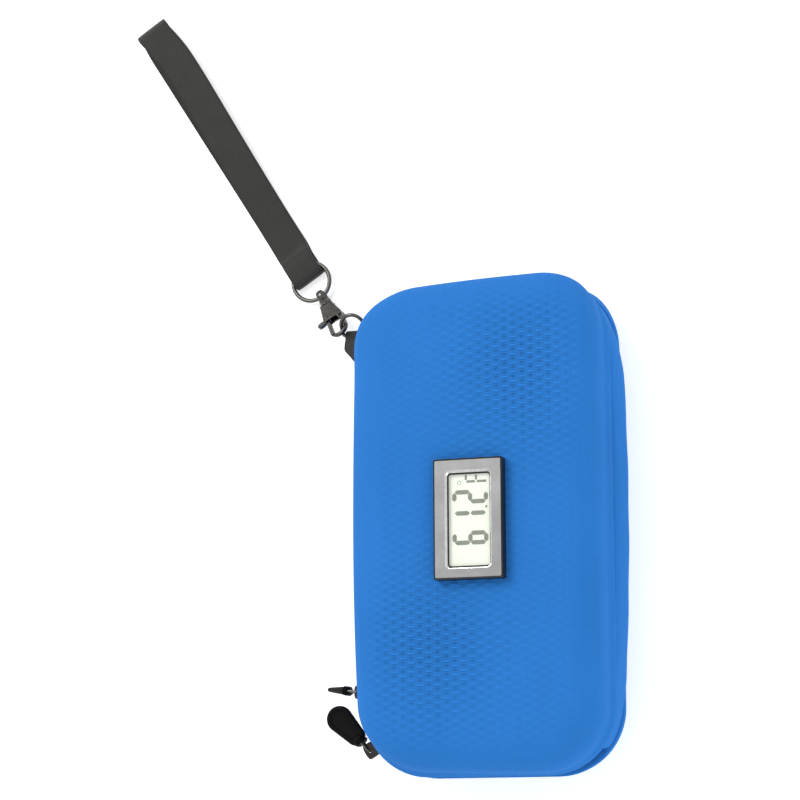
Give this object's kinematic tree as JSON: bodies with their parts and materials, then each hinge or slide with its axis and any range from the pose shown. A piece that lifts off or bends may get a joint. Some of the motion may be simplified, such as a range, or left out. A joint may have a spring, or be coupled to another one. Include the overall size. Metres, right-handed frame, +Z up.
{
  "type": "hard-shell zip travel case",
  "caption": "Hard-shell zip-around travel case with a temperature display set in its front shell, foam lining, and a wrist strap on a swivel clasp.",
  "frame": {"origin": "centre of the back shell's flat rest face, which lies on the table", "axes": "+Z up through the case's thickness, +X towards the fabric spine, +Y towards the end with the wrist strap"},
  "size_m": [0.2222, 0.3392, 0.061],
  "materials": {
    "shell_blue": "satin embossed laminate on moulded EVA foam",
    "lining": "knitted lining over foam",
    "tape_blue": "woven tape",
    "binding_black": "woven binding",
    "coil_black": "nylon coil",
    "webbing": "woven polyester webbing",
    "elastic": "ribbed elastic",
    "mesh": "open polyester mesh",
    "gunmetal": "black nickel plate, polished",
    "spring_steel": "drawn wire",
    "pull_rubber": "moulded, satin",
    "black_plastic": "moulded, satin",
    "face_grey": "metallic grey lacquer",
    "lens": "clear window",
    "lcd": "reflective display",
    "lcd_ink": "display figures",
    "pcb_green": "solder mask",
    "cell_steel": "nickel-plated",
    "contact": "plated spring strip"
  },
  "bodies": {
    "case_base": {"back_shell": "shell_blue", "back_liner": "lining", "back_binding": "binding_black", "back_zip_tape": "tape_blue", "back_zip_teeth": "coil_black", "zip_stop_top": "binding_black", "zip_stop_bottom": "binding_black", "spine_panel": "shell_blue", "pen_loops": "elastic", "strap_tab": "webbing"},
    "case_lid": {"front_shell": "shell_blue", "front_liner": "lining", "front_binding": "binding_black", "front_zip_tape": "tape_blue", "front_zip_teeth": "coil_black", "mesh_pocket": "mesh", "pocket_hem": "elastic", "thermo_housing": "black_plastic", "thermo_face": "face_grey", "thermo_lens": "lens", "thermo_lcd": "lcd", "thermo_digits": "lcd_ink", "thermo_zebra": "pull_rubber", "thermo_pcb": "pcb_green", "thermo_chip": "black_plastic", "cell_a": "cell_steel", "cell_b": "cell_steel", "cell_contacts": "contact", "thermo_sensor": "cell_steel", "clip_left": "black_plastic", "clip_right": "black_plastic"},
    "cell_door": {"battery_door": "black_plastic"},
    "slider_upper": {"slider_a": "gunmetal"},
    "pull_upper": {"link_a": "gunmetal", "pull_a": "pull_rubber"},
    "slider_lower": {"slider_b": "gunmetal"},
    "pull_lower": {"link_b": "gunmetal", "pull_b": "pull_rubber"},
    "tab_ring": {"d_ring": "gunmetal"},
    "clasp": {"clasp_body": "gunmetal", "clasp_pin": "gunmetal"},
    "gate": {"clasp_gate": "gunmetal", "gate_spring": "spring_steel"},
    "swivel": {"swivel_eye": "gunmetal"},
    "strap_ring": {"o_ring": "gunmetal"},
    "strap": {"wrist_strap": "webbing"}
  },
  "joints": [
    {"name": "lid_hinge", "type": "hinge", "parent": "case_base", "child": "case_lid", "pos_m": [0.0525, 0, 0.028], "axis": [0, 1, 0], "range_deg": [0, 170], "deforming": ["spine_panel"]},
    {"name": "battery_door_slide", "type": "slide", "parent": "case_lid", "child": "cell_door", "axis": [0, 1, 0], "range_m": [0, 0.004]},
    {"name": "upper_slider_travel", "type": "slide", "parent": "case_base", "child": "slider_upper", "axis": [0, 1, 0], "range_m": [0, 0.12]},
    {"name": "upper_pull_flip", "type": "hinge", "parent": "slider_upper", "child": "pull_upper", "pos_m": [-0.0568, -0.06485, 0.028], "axis": [0, 0, 1], "range_deg": [-48, 15]},
    {"name": "lower_slider_travel", "type": "hinge", "parent": "case_base", "child": "slider_lower", "pos_m": [-0.025, -0.0725, 0.028], "axis": [0, 0, 1], "range_deg": [0, 45]},
    {"name": "lower_pull_flip", "type": "hinge", "parent": "slider_lower", "child": "pull_lower", "pos_m": [-0.0524, -0.08864, 0.028], "axis": [0, 0, 1], "range_deg": [-5, 110]},
    {"name": "d_ring_swing", "type": "hinge", "parent": "case_base", "child": "tab_ring", "pos_m": [-0.063, 0.0863, 0.0157], "axis": [1, 0, 0], "range_deg": [-40, 45]},
    {"name": "clasp_swing", "type": "hinge", "parent": "tab_ring", "child": "clasp", "pos_m": [-0.068, 0.08961, 0.01829], "axis": [0, 0.788, 0.6157], "range_deg": [-12, 12]},
    {"name": "gate_open", "type": "hinge", "parent": "clasp", "child": "gate", "pos_m": [-0.07607, 0.09426, 0.01251], "axis": [-0.3319, 0.4518, 0.8281], "range_deg": [0, 9], "stiffness_Nm_per_rad": 0.02, "springref_deg": -11.46, "deforming": ["gate_spring"]},
    {"name": "clasp_swivel", "type": "hinge", "parent": "clasp", "child": "swivel", "pos_m": [-0.08229, 0.10695, 0.00309], "axis": [0.4902, -0.6674, 0.5606], "continuous": true},
    {"name": "ring_swing", "type": "hinge", "parent": "swivel", "child": "strap_ring", "pos_m": [-0.08246, 0.10719, 0.0029], "axis": [0.8059, 0.592, 0], "range_deg": [-25, 60]},
    {"name": "strap_swing", "type": "hinge", "parent": "strap_ring", "child": "strap", "pos_m": [-0.09059, 0.11894, 0.0029], "axis": [0.8443, 0.5358, 0], "range_deg": [-8, 8]}
  ]
}
